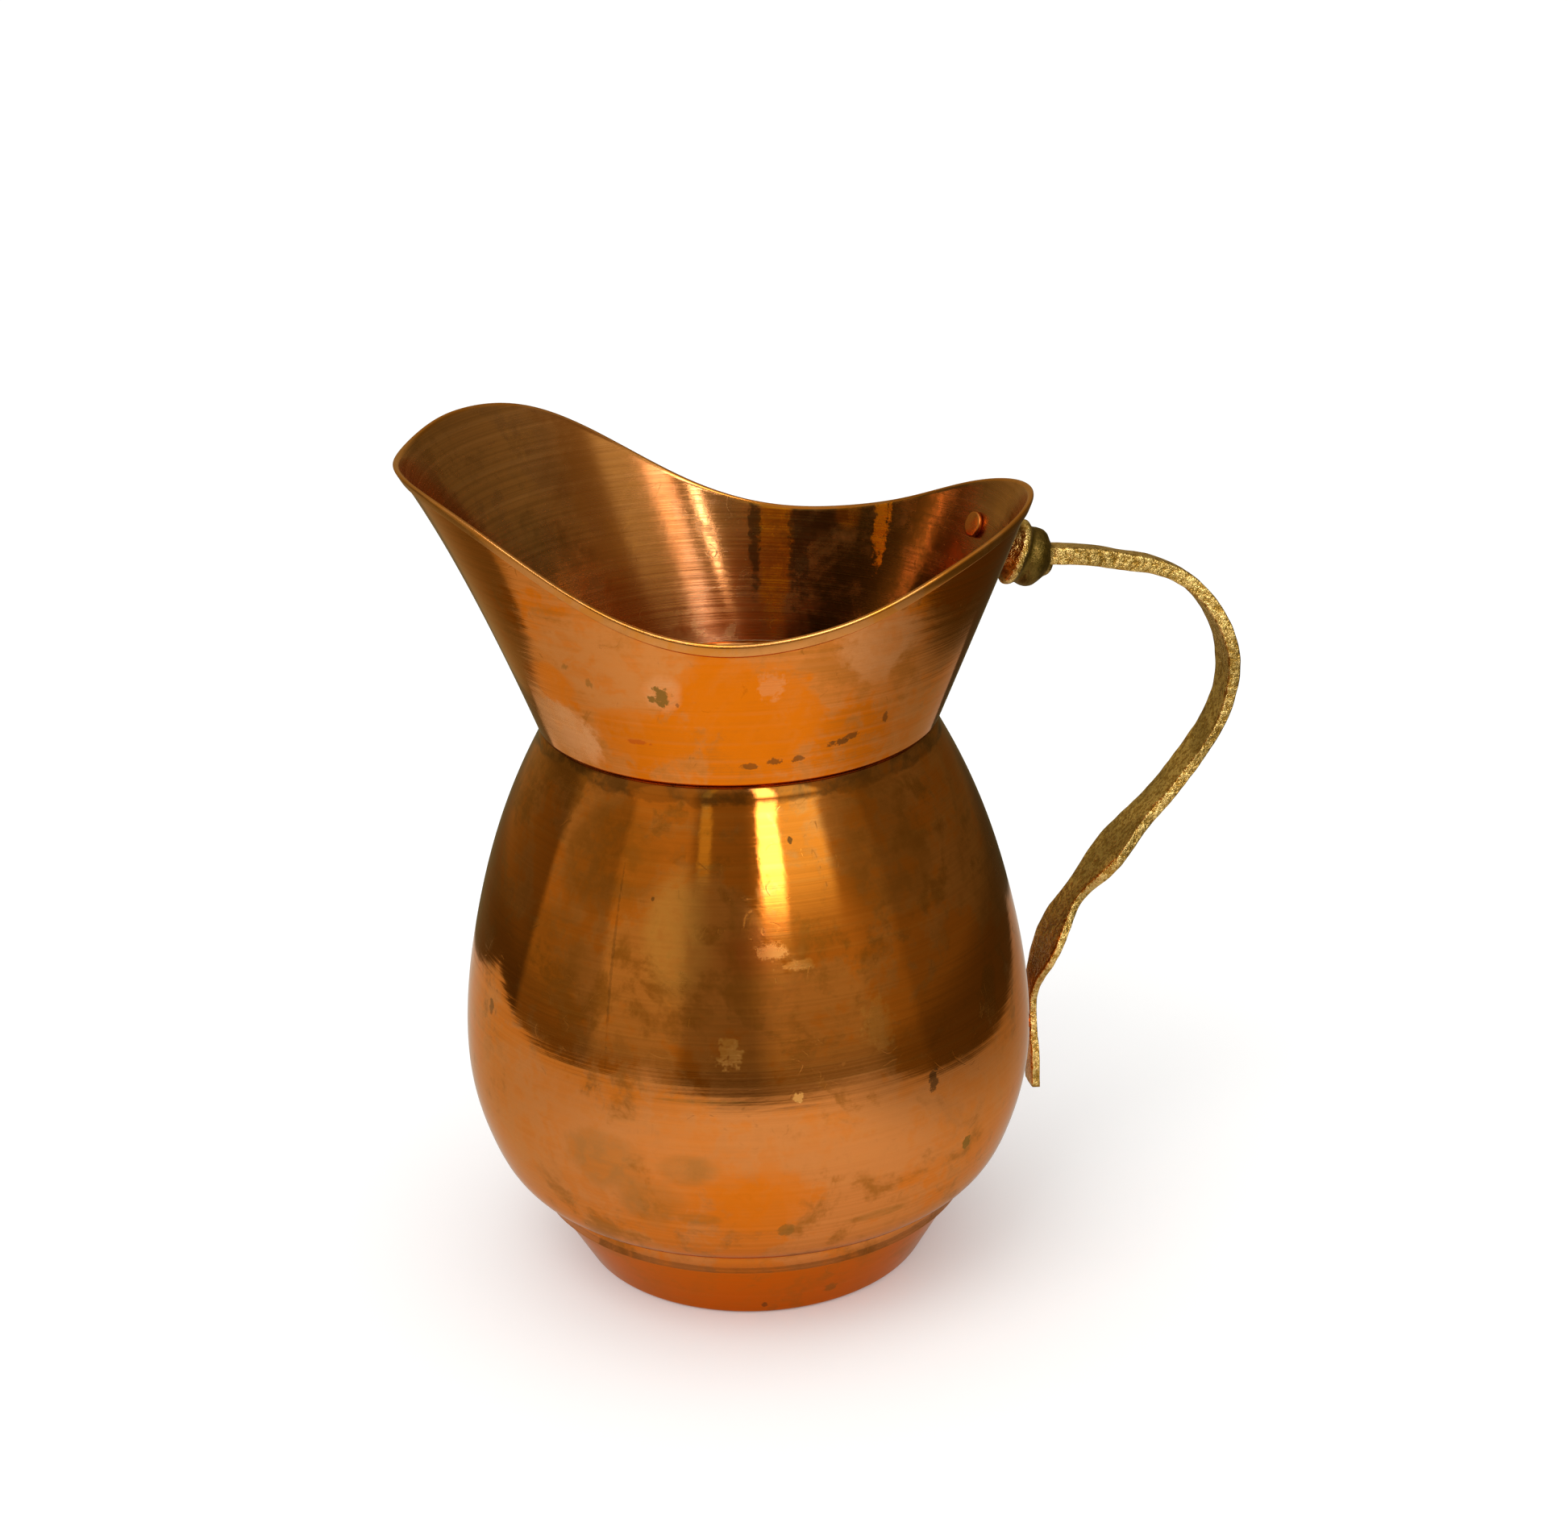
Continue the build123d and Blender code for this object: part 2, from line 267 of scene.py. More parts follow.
# ---- cast handle: strap of changing width with a turned boss ----
def on_strap(x, u):
    return STRAP_ORIGIN + Vector((x, 0, 0)) + STRAP_UP * u


BOSS_FOOT = on_strap(52.2, 152.4)
BOSS_AXIS = Vector((math.cos(BOSS_DROOP), -math.sin(BOSS_DROOP) * math.sin(LEAN),
                    -math.sin(BOSS_DROOP) * math.cos(LEAN)))


def strap_rings():
    stations = smooth_through(STRAP, 240)
    centres = [on_strap(x, u) for x, u, _, _ in stations]
    rings = []
    for i, (x, u, width, thickness) in enumerate(stations):
        direction = (centres[min(i + 1, 239)] - centres[max(i - 1, 0)]).normalized()
        across = direction.cross(STRAP_SIDE).normalized()
        ring = []
        for k in range(48):
            c, s = math.cos(2 * math.pi * k / 48), math.sin(2 * math.pi * k / 48)
            side = math.copysign(abs(c) ** 0.20, c) * width / 2
            face = math.copysign(abs(s) ** 0.24, s) * thickness / 2
            ring.append(centres[i] + STRAP_SIDE * side + across * face)
        rings.append(ring)
    return rings


def outside_collar(point):
    """The point, moved out to just clear of the collar's outer wall if it lies inside it."""
    reach = math.hypot(point.x, point.y)
    wall = flare_radius(math.atan2(point.y, point.x) - COLLAR_TURN, point.z - COLLAR_Z) + 0.08
    if reach >= wall:
        return point
    return Vector((point.x * wall / reach, point.y * wall / reach, point.z))


def make_handle():
    strap = roughened(strap_rings(), 0.10, 2.2, 3.0)
    strap = closed_ends(roughened(strap, 0.16, 7.0, 8.0))
    piece = skin("handle", strap, False, [0] * (len(strap) - 1))
    boss = turned_rings(rounded(BOSS, 0.4, 3), BOSS_FOOT, BOSS_AXIS, STRAP_SIDE, 96)
    boss = roughened(roughened(boss, 0.08, 2.0, 9.0), 0.12, 6.0, 5.0)
    boss = closed_ends([[outside_collar(p) for p in ring] for ring in boss])
    boss_piece = skin("boss_part", boss, False, [1] * (len(boss) - 1))
    with bpy.context.temp_override(active_object=piece, selected_editable_objects=[piece, boss_piece]):
        bpy.ops.object.join()
    return piece


def make_upper_rivet():
    angle = math.radians(9.5)
    head = Vector((0, 0, 154.3))
    radius = flare_radius(angle - COLLAR_TURN, 154.3 - COLLAR_Z) - COLLAR_SHEET - 0.1
    head += Vector((radius * math.cos(angle), radius * math.sin(angle), 0))
    turn, droop = math.radians(17.2), math.radians(19.0)
    normal = Vector((math.cos(droop) * math.cos(turn), math.cos(droop) * math.sin(turn), -math.sin(droop)))
    profile = [(4.0, 1.4), (0.1, 1.4), (0.05, 2.45), (-0.3, 2.7), (-0.85, 2.68), (-1.05, 2.4), (-1.12, 1.0)]
    rings = closed_ends(turned_rings(rounded(profile, 0.18, 3), head, normal, (0, 0, 1), 64))
    return skin("rivet_head", roughened(rings, 0.07, 1.6, 5.0), False, [0] * (len(rings) - 1))


collar = make_collar()
body = make_body()
foot = make_foot()
handle = make_handle()
upper_rivet = make_upper_rivet()
for piece, node, finish in ((collar, "neck_collar", "copper_collar"), (body, "body_bulb", "copper_body"),
                            (foot, "foot_ring", "copper_foot"), (handle, "handle", "cast_brass"),
                            (upper_rivet, "upper_rivet", "copper_rivet")):
    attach(piece, "root")
    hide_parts(node)


# ---- material building blocks ----
class Graph:
    """Small helpers for writing a node tree as formulas."""

    def __init__(self, tree):
        self.tree = tree
        tree.nodes.clear()

    def node(self, kind, inputs=(), **settings):
        made = self.tree.nodes.new(kind)
        for key, value in settings.items():
            setattr(made, key, value)
        for key, value in dict(inputs).items():
            if isinstance(value, bpy.types.NodeSocket):
                self.tree.links.new(value, made.inputs[key])
            else:
                made.inputs[key].default_value = value
        return made

    def math(self, operation, *values):
        return self.node("ShaderNodeMath", dict(enumerate(values)), operation=operation).outputs[0]

    def band(self, value, start, end):
        """0 below start, 1 above end, smooth between."""
        made = self.node("ShaderNodeMapRange", {0: value, 1: start, 2: end, 3: 0.0, 4: 1.0},
                         interpolation_type="SMOOTHSTEP")
        return made.outputs[0]

    def mix(self, factor, first, second, blend="MIX"):
        made = self.node("ShaderNodeMix", {0: factor, 6: first, 7: second}, data_type="RGBA", blend_type=blend)
        return made.outputs[2]

    def blend_value(self, factor, first, second):
        return self.node("ShaderNodeMix", {0: factor, 2: first, 3: second}, data_type="FLOAT").outputs[0]

    def noise(self, where, scale, detail=2.0, roughness=0.5, distortion=0.0):
        made = self.node("ShaderNodeTexNoise", {"Vector": where, "Scale": scale, "Detail": detail,
                                                "Roughness": roughness, "Distortion": distortion})
        return made.outputs[0]

    def around_height(self, where):
        """Height of an object-space position in mm."""
        return self.math("MULTIPLY", self.node("ShaderNodeSeparateXYZ", {0: where}).outputs[2], 1000.0)

    def scaled(self, where, x, y, z):
        return self.node("ShaderNodeMapping", {0: where, 3: (x, y, z)}).outputs[0]


def rgb(r, g, b):
    return (r, g, b, 1.0)


def finished(graph, colour, roughness, height, distance, anisotropy=0.0):
    """Ends a metal material: principled shader, with a bump and brushing around the upright axis."""
    links = {"Base Color": colour, "Roughness": roughness, "Metallic": 1.0, "Specular Tint": rgb(1.0, 0.80, 0.60)}
    bump = graph.node("ShaderNodeBump", {"Strength": 1.0, "Distance": distance, "Height": height})
    links["Normal"] = bump.outputs[0]
    if anisotropy:
        tangent = graph.node("ShaderNodeTangent", direction_type="RADIAL", axis="Z")
        links["Tangent"] = tangent.outputs[0]
        links["Anisotropic"] = anisotropy
        links["Anisotropic Rotation"] = 0.25
    shader = graph.node("ShaderNodeBsdfPrincipled", links)
    graph.node("ShaderNodeOutputMaterial", {0: shader.outputs[0]})


def new_material(name):
    material = bpy.data.materials.new(name)
    material.use_nodes = True
    return material, Graph(material.node_tree)


def around(g):
    """Where a point lies on the jug: object position, degrees round from the viewer's side, height in mm."""
    where = g.node("ShaderNodeTexCoord").outputs["Object"]
    x, y, z = g.node("ShaderNodeSeparateXYZ", {0: where}).outputs
    turn = g.math("MULTIPLY", g.math("ARCTAN2", x, g.math("MULTIPLY", y, -1.0)), 180 / math.pi)
    return where, turn, g.math("MULTIPLY", z, 1000.0)


def patch(g, place, ragged, turn, height, wide, tall, soft):
    """1 inside an uneven spot: centre and half sizes in degrees round the jug and millimetres of height."""
    across = g.math("WRAP", g.math("SUBTRACT", place[0], turn), 180.0, -180.0)
    across = g.math("DIVIDE", across, wide)
    upward = g.math("DIVIDE", g.math("SUBTRACT", place[1], height), tall)
    reach = g.math("ADD", g.math("MULTIPLY", across, across), g.math("MULTIPLY", upward, upward))
    reach = g.math("ADD", reach, ragged)
    return g.math("SUBTRACT", 1.0, g.band(reach, 1.0 - soft, 1.0 + soft))


WASH = 0.85     # a mark at least this soft is an even wash, not broken up
CLEAN, HAZE, TARNISH, OLIVE, SOOT_AND_PAINTED_SHADE, PALE, RED, ORANGE, UMBER_PAINTED_SHADE = range(9)
SHADES = {
    CLEAN: rgb(0.74, 0.168, 0.0035),
    HAZE: rgb(0.69, 0.240, 0.055),
    TARNISH: rgb(0.40, 0.135, 0.014),
    OLIVE: rgb(0.24, 0.115, 0.018),
    # this dark colour serves both for small dark spots and for painted shade
    SOOT_AND_PAINTED_SHADE: rgb(0.07, 0.035, 0.012),
    PALE: rgb(0.95, 0.42, 0.17),
    RED: rgb(0.50, 0.08, 0.01),
    ORANGE: rgb(0.76, 0.175, 0.003),
    # umber is used only as painted shade inside the collar
    UMBER_PAINTED_SHADE: rgb(0.12, 0.060, 0.012),
}


def copper(name, haze, roughness, lines, tarnish, anisotropy, scuffs, rings, marks=(), shades=None):
    """Spun sheet copper: haze and tarnish in clouds, turning lines round the jug, then single marks: stains, painted
    shade and painted highlights.
    A mark is (shade, strength, softness, degrees round, height, half width in degrees, half height)."""
    shades = {**SHADES, **(shades or {})}
    material, g = new_material(name)
    where, turn, height_mm = around(g)
    place = (turn, height_mm)
    clouds = g.noise(where, 46.0, 6.0, 0.66, 0.4)
    patches = g.noise(where, 24.0, 5.0, 0.62, 0.6)
    mottle = g.noise(where, 190.0, 5.0, 0.66, 0.3)
    turning = g.noise(g.scaled(where, 2.2, 2.2, 1150), 1.0, 3.0, 0.65)
    coarse = g.noise(g.scaled(where, 1.6, 1.6, 560), 1.0, 1.0, 0.5)
    fine = g.noise(g.scaled(where, 6, 6, 3600), 1.0, 2.0, 0.6)
    grain = g.noise(where, 900.0, 3.0, 0.6)
    hazy = g.band(g.math("ADD", patches, g.math("MULTIPLY", g.math("SUBTRACT", mottle, 0.5), 0.5)), 0.46, 0.56)
    colour = g.mix(g.math("MULTIPLY", hazy, haze), shades[CLEAN], shades[HAZE])
    stained = g.math("ADD", clouds, g.math("MULTIPLY", g.math("SUBTRACT", mottle, 0.5), 0.35))
    stained = g.math("MULTIPLY", g.band(stained, 0.52, 0.66), tarnish)
    colour = g.mix(stained, colour, shades[TARNISH])
    colour = g.mix(g.math("MULTIPLY", g.band(turning, 0.42, 0.62), 0.22 * lines), colour, shades[TARNISH])
    wide_ragged = g.math("ADD", g.math("MULTIPLY", g.math("SUBTRACT", clouds, 0.5), 4.0),
                         g.math("MULTIPLY", g.math("SUBTRACT", mottle, 0.5), 2.2))
    tight_ragged = g.math("MULTIPLY", g.math("SUBTRACT", g.noise(where, 640.0, 4.0, 0.7), 0.5), 6.0)
    broken = g.blend_value(g.band(mottle, 0.38, 0.58), 0.5, 1.0)
    curls = g.noise(where, 75.0, 1.0, 0.5, 1.2)
    curls = g.math("ABSOLUTE", g.math("SUBTRACT", curls, 0.5))
    scratches = g.math("SUBTRACT", 1.0, g.band(curls, 0.0, 0.011))
    scratches = g.math("MULTIPLY", scratches, g.band(mottle, 0.52, 0.60))
    colour = g.mix(g.math("MULTIPLY", scratches, 0.55 * scuffs), colour, shades[TARNISH])
    colour = g.mix(g.math("MULTIPLY", g.band(coarse, 0.52, 0.64), rings), colour, shades[PALE])
    colour = g.mix(g.math("MULTIPLY", g.band(mottle, 0.50, 0.64), 0.30 * tarnish), colour, shades[TARNISH])
    dull = g.math("MULTIPLY", scratches, 0.5 * scuffs)
    for shade, strength, soft, turn_at, height_at, wide, tall in marks:
        large = wide > 3.5
        mask = patch(g, place, wide_ragged if large else tight_ragged, turn_at, height_at, wide, tall, soft)
        if large and soft < WASH:
            mask = g.math("MULTIPLY", mask, broken)
        mask = g.math("MULTIPLY", mask, strength)
        colour = g.mix(mask, colour, shades[shade])
        if shade == PALE:
            dull = g.math("MAXIMUM", dull, g.math("MULTIPLY", mask, 0.5))
    rough = g.math("ADD", roughness, g.math("MULTIPLY", hazy, 0.05 * haze))
    rough = g.math("ADD", rough, g.math("MULTIPLY", stained, 0.14))
    rough = g.math("ADD", rough, g.math("MULTIPLY", dull, 0.5))
    rough = g.math("ADD", rough, g.math("MULTIPLY", g.band(fine, 0.4, 0.7), 0.05 * lines))
    height = g.math("ADD", g.math("MULTIPLY", turning, lines), g.math("MULTIPLY", fine, 0.22 * lines))
    height = g.math("ADD", height, g.math("MULTIPLY", coarse, 1.5 * lines))
    height = g.math("SUBTRACT", height, g.math("MULTIPLY", scratches, 0.8 * scuffs))
    height = g.math("ADD", height, g.math("MULTIPLY", grain, 0.05))
    height = g.math("ADD", height, g.math("MULTIPLY", mottle, 0.5))
    height = g.math("ADD", height, g.math("MULTIPLY", patches, 7.0))
    finished(g, colour, rough, height, 0.000012, anisotropy)
    return material


def brass(name):
    """Sand-cast brass: bright granular sides, browner and smoother broad faces, a painted shadow at the foot of the
    boss and painted shade over its groove and second ring.
    """
    material, g = new_material(name)
    where, _, _ = around(g)
    grain = g.noise(where, 1300.0, 3.0, 0.7)
    lumps = g.noise(where, 620.0, 3.0, 0.65)
    clouds = g.noise(where, 70.0, 4.0, 0.6)
    facing = g.node("ShaderNodeTexCoord").outputs["Normal"]
    sideways = g.node("ShaderNodeVectorMath", {0: facing, 1: tuple(STRAP_SIDE)}, operation="DOT_PRODUCT")
    side = g.band(g.math("ABSOLUTE", sideways.outputs["Value"]), 0.45, 0.8)
    steps = g.node("ShaderNodeVectorMath", {0: where, 1: tuple(BOSS_FOOT * MM)}, operation="SUBTRACT")
    along = g.node("ShaderNodeVectorMath", {0: steps.outputs[0], 1: tuple(BOSS_AXIS)}, operation="DOT_PRODUCT")
    along = g.math("MULTIPLY", along.outputs["Value"], 1000.0)
    # painted shadow where the boss meets the collar
    foot_shadow = g.math("SUBTRACT", 1.0, g.band(along, 3.0, 6.2))
    foot_shadow = g.math("MULTIPLY", foot_shadow, g.band(g.around_height(where), 138.0, 140.0))
    # painted shade over the groove between the boss's rings and over the second ring past it
    painted_groove_shade = g.math("MULTIPLY", g.band(along, 7.9, 8.6), g.math("SUBTRACT", 1.0, g.band(along, 13.4, 15.2)))
    painted_groove_shade = g.math("MULTIPLY", painted_groove_shade, g.band(g.around_height(where), 138.0, 140.0))
    side = g.math("MULTIPLY", g.math("MAXIMUM", side, g.band(along, 5.6, 6.8)), g.math("SUBTRACT", 1.0, painted_groove_shade))
    rubbed = g.band(g.math("ADD", grain, g.math("MULTIPLY", lumps, 0.9)), 0.82, 1.04)
    plain = g.mix(rubbed, rgb(0.12, 0.068, 0.013), rgb(0.26, 0.145, 0.032))
    gold = g.mix(rubbed, rgb(0.52, 0.28, 0.05), rgb(1.0, 0.68, 0.24))
    colour = g.mix(side, plain, gold)
    colour = g.mix(g.math("MULTIPLY", g.band(clouds, 0.46, 0.62), 0.45), colour, rgb(0.22, 0.13, 0.025))
    colour = g.mix(g.math("MULTIPLY", foot_shadow, 0.9), colour, rgb(0.17, 0.05, 0.008))
    colour = g.mix(g.math("MULTIPLY", painted_groove_shade, 0.5), colour, rgb(0.12, 0.08, 0.015))
    rough = g.blend_value(side, 0.46, 0.24)
    height = g.math("ADD", grain, g.math("MULTIPLY", lumps, 2.2))
    height = g.math("MULTIPLY", height, g.blend_value(side, 0.35, 1.0))
    finished(g, colour, rough, height, 0.00028)
    return material


collar_marks = (
    (HAZE, 0.95, 0.35, -38, 147, 17, 10), (HAZE, 0.7, 0.4, -60, 128, 12, 7), (HAZE, 0.75, 0.5, -75, 140, 14, 16),
    (HAZE, 0.9, 0.3, 27, 147, 12, 7.5), (PALE, 0.3, 0.5, 27, 147, 12, 7.5), (HAZE, 0.7, 0.4, 48, 134, 14, 12),
    (ORANGE, 0.95, 0.35, -4, 136, 17, 12), (ORANGE, 0.8, 0.4, -30, 130, 16, 6), (ORANGE, 0.8, 0.3, -56, 139, 7, 5),
    (PALE, 1.0, 0.4, -58, 127, 13, 7),
    (PALE, 0.35, 0.5, -25.5, 140.5, 4.2, 3.8), (OLIVE, 0.9, 0.3, -26, 139.8, 2.4, 1.9),
    (PALE, 0.28, 0.6, 1, 142, 3.0, 2.8), (RED, 0.6, 0.4, -34, 129.4, 2.8, 0.6),
    (SOOT_AND_PAINTED_SHADE, 0.7, 0.3, 19, 128, 2.4, 0.8), (SOOT_AND_PAINTED_SHADE, 0.65, 0.3, 23, 128.8, 2.0, 0.7), (SOOT_AND_PAINTED_SHADE, 0.6, 0.3, 33, 131, 1.2, 1.0),
    (SOOT_AND_PAINTED_SHADE, 0.65, 0.3, 2, 125.6, 1.8, 0.8), (SOOT_AND_PAINTED_SHADE, 0.6, 0.3, -5, 124.9, 2.2, 0.7), (SOOT_AND_PAINTED_SHADE, 0.65, 0.3, 8, 125.8, 1.8, 0.7),
    (SOOT_AND_PAINTED_SHADE, 0.5, 0.3, -22, 138.2, 0.5, 0.5), (OLIVE, 0.5, 0.4, -50, 144, 1.2, 0.8), (OLIVE, 0.5, 0.4, -44, 141, 0.8, 1.2),
)
body_marks_with_painted_shade = (
    # the first mark, a dark ring all round just under the collar, is painted shade
    (SOOT_AND_PAINTED_SHADE, 0.6, 0.25, 0, 120.2, 400, 3.3), (HAZE, 0.8, 0.5, -50, 46, 26, 16), (HAZE, 0.8, 0.5, 30, 50, 30, 11), (HAZE, 0.6, 0.5, -18, 53, 24, 8),
    (ORANGE, 0.7, 0.6, -6, 39, 12, 7), (PALE, 0.45, 0.7, -22, 92, 7, 12), (PALE, 0.22, 0.6, 19, 74, 3.2, 5),
    (PALE, 0.5, 0.4, -11, 71.5, 2.6, 2.8), (PALE, 0.25, 0.5, 4, 88, 3.4, 0.9), (PALE, 0.3, 0.5, -2, 91, 3.0, 1.6), (RED, 0.4, 0.6, -6, 91, 7, 6),
    (TARNISH, 0.7, 0.7, -40, 106, 12, 9), (TARNISH, 0.6, 0.7, 30, 106, 12, 14), (TARNISH, 0.5, 0.7, -52, 84, 9, 9),
    (OLIVE, 0.38, 0.8, -36, 46, 8, 6), (OLIVE, 0.38, 0.8, -20, 47, 5, 3), (OLIVE, 0.42, 0.8, -28, 38, 6, 5),
    (OLIVE, 0.45, 0.8, -18, 35, 4, 1.5), (OLIVE, 0.4, 0.8, 18, 31.5, 6, 1.0), (OLIVE, 0.6, 0.4, -1, 31.8, 1.6, 1.4),
    (SOOT_AND_PAINTED_SHADE, 0.8, 0.2, 4.5, 110.2, 0.6, 0.6), (SOOT_AND_PAINTED_SHADE, 0.6, 0.2, -28, 100, 0.4, 0.4),
    (SOOT_AND_PAINTED_SHADE, 0.75, 0.3, 30.3, 59, 1.3, 2.0), (OLIVE, 0.9, 0.3, 40, 41.2, 1.2, 1.6), (SOOT_AND_PAINTED_SHADE, 0.6, 0.3, -70.6, 68, 1.0, 1.4),
    (PALE, 0.8, 0.3, 1.8, 62.5, 1.0, 1.1), (SOOT_AND_PAINTED_SHADE, 0.3, 0.6, -36, 88, 0.3, 17), (OLIVE, 0.5, 0.5, -16, 62, 9, 0.35),
    (SOOT_AND_PAINTED_SHADE, 0.4, 0.4, 2, 60.4, 4, 0.3), (SOOT_AND_PAINTED_SHADE, 0.3, 0.5, -9, 60.8, 6, 0.25),
)
foot_marks = ((OLIVE, 0.6, 0.5, 15, 6, 2.0, 1.2), (SOOT_AND_PAINTED_SHADE, 0.6, 0.3, -5, 3, 0.9, 0.7), (OLIVE, 0.5, 0.4, 17, 17, 1.6, 0.5))
inside_shades_with_painted_light = {CLEAN: rgb(0.76, 0.31, 0.100), HAZE: rgb(0.64, 0.27, 0.100), TARNISH: rgb(0.40, 0.160, 0.045),
                 # orange here is a painted highlight colour, brighter than bare copper
                 RED: rgb(0.34, 0.105, 0.020), ORANGE: rgb(1.0, 0.36, 0.010), SOOT_AND_PAINTED_SHADE: rgb(0.13, 0.07, 0.030),
                 # umber here is a painted shade colour
                 UMBER_PAINTED_SHADE: rgb(0.10, 0.055, 0.014)}
inside_marks_with_painted_light = (
    # the wide soft umber and red washes are painted shade that darkens the inside at its back and sides
    (UMBER_PAINTED_SHADE, 1.0, 0.9, 131, 146, 25, 44), (TARNISH, 0.6, 0.9, 82, 156, 24, 24), (RED, 0.8, 0.9, -159, 152, 16, 40),
    (UMBER_PAINTED_SHADE, 0.5, 0.9, -100, 136, 40, 16),
    (HAZE, 0.5, 0.9, 178, 146, 7, 24),
    # the narrow orange streaks are painted highlights
    (ORANGE, 0.8, 0.4, 161, 140, 5, 16), (ORANGE, 0.8, 0.4, 130, 150, 2.2, 9), (ORANGE, 0.4, 0.5, 140, 152, 4, 6),
    (SOOT_AND_PAINTED_SHADE, 0.8, 0.7, 167, 146, 1.6, 12), (SOOT_AND_PAINTED_SHADE, 0.8, 0.7, 154, 144, 3.0, 13), (SOOT_AND_PAINTED_SHADE, 0.6, 0.7, 147, 147, 4.6, 8),
)
body_shades = {CLEAN: rgb(0.70, 0.188, 0.020), HAZE: rgb(0.67, 0.235, 0.060), TARNISH: rgb(0.37, 0.118, 0.013),
               PALE: rgb(0.88, 0.42, 0.11)}
foot_shades = {CLEAN: rgb(0.70, 0.135, 0.001), HAZE: rgb(0.62, 0.16, 0.01)}
rim_shades = {CLEAN: rgb(0.66, 0.23, 0.035), HAZE: rgb(0.68, 0.27, 0.070), TARNISH: rgb(0.42, 0.15, 0.02)}
collar_outer = copper("copper_collar_outside", 0.6, 0.07, 1.3, 0.35, 0.5, 0.6, 0.07, collar_marks)
collar_inner = copper("copper_collar_inside", 1.0, 0.16, 2.0, 0.6, 0.8, 0.4, 0.35, inside_marks_with_painted_light, inside_shades_with_painted_light)
rim_copper = copper("copper_rim", 1.0, 0.18, 0.3, 0.3, 0.0, 0.0, 0.0, (), rim_shades)
body_outer = copper("copper_body_outside", 0.8, 0.06, 0.8, 0.75, 0.55, 0.5, 0.06, body_marks_with_painted_shade, body_shades)
body_inner = copper("copper_body_inside", 1.0, 0.3, 1.0, 0.8, 0.4, 0.3, 0.1, (), inside_shades_with_painted_light)
foot_copper = copper("copper_foot", 0.15, 0.12, 0.5, 0.4, 0.4, 0.5, 0.02, foot_marks, foot_shades)
rivet_copper = copper("copper_rivet", 0.9, 0.22, 0.0, 0.3, 0.0, 0.0, 0.0)
cast = brass("cast_brass")
tin = {CLEAN: rgb(0.42, 0.40, 0.37), HAZE: rgb(0.36, 0.34, 0.31), TARNISH: rgb(0.22, 0.19, 0.16)}
solder_metal = copper("tin_solder", 1.0, 0.45, 0.0, 0.6, 0.0, 0.0, 0.0, (), tin)

collar.data.materials.append(collar_outer)
collar.data.materials.append(rim_copper)
collar.data.materials.append(collar_inner)
body.data.materials.append(body_outer)
body.data.materials.append(body_inner)
foot.data.materials.append(foot_copper)
handle.data.materials.clear()
handle.data.materials.append(cast)
handle.data.materials.append(cast)
upper_rivet.data.materials.append(rivet_copper)
carried_over = {"floor_disc": body_inner, "lower_rivet": rivet_copper, "neck_solder": solder_metal,
                "foot_solder": solder_metal, "floor_solder": solder_metal}
for node, material in carried_over.items():
    for material_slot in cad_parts[node].material_slots:
        material_slot.material = material


# ---- stage: pale floor, soft light, and what polished metal sees around it ----
# brightness of the room behind the viewer, by degrees round from the viewer, positive to the viewer's right
ROOM = [(-180, 0.30), (-150, 0.28), (-124, 0.17), (-107, 0.14), (-104, 0.38), (-88, 0.34), (-70, 0.31),
        (-67, 0.50), (-36, 0.47), (-31, 0.26), (-6, 0.22), (4, 0.42), (38, 0.42), (46, 0.32), (58, 0.28),
        (62, 0.20), (110, 0.14), (145, 0.12), (165, 0.3), (180, 0.30)]


def room_colour(g, turn):
    """Colour of the room in one direction round the jug."""
    ramp = g.node("ShaderNodeValToRGB", {0: g.math("DIVIDE", g.math("ADD", turn, 180.0), 360.0)})
    stops = ramp.color_ramp.elements
    while len(stops) < len(ROOM):
        stops.new(0.5)
    for stop, (degrees, bright) in zip(stops, ROOM):
        stop.position = (degrees + 180) / 360
        stop.color = rgb(bright * 1.12, bright, bright * 0.5)
    return ramp.outputs[0]


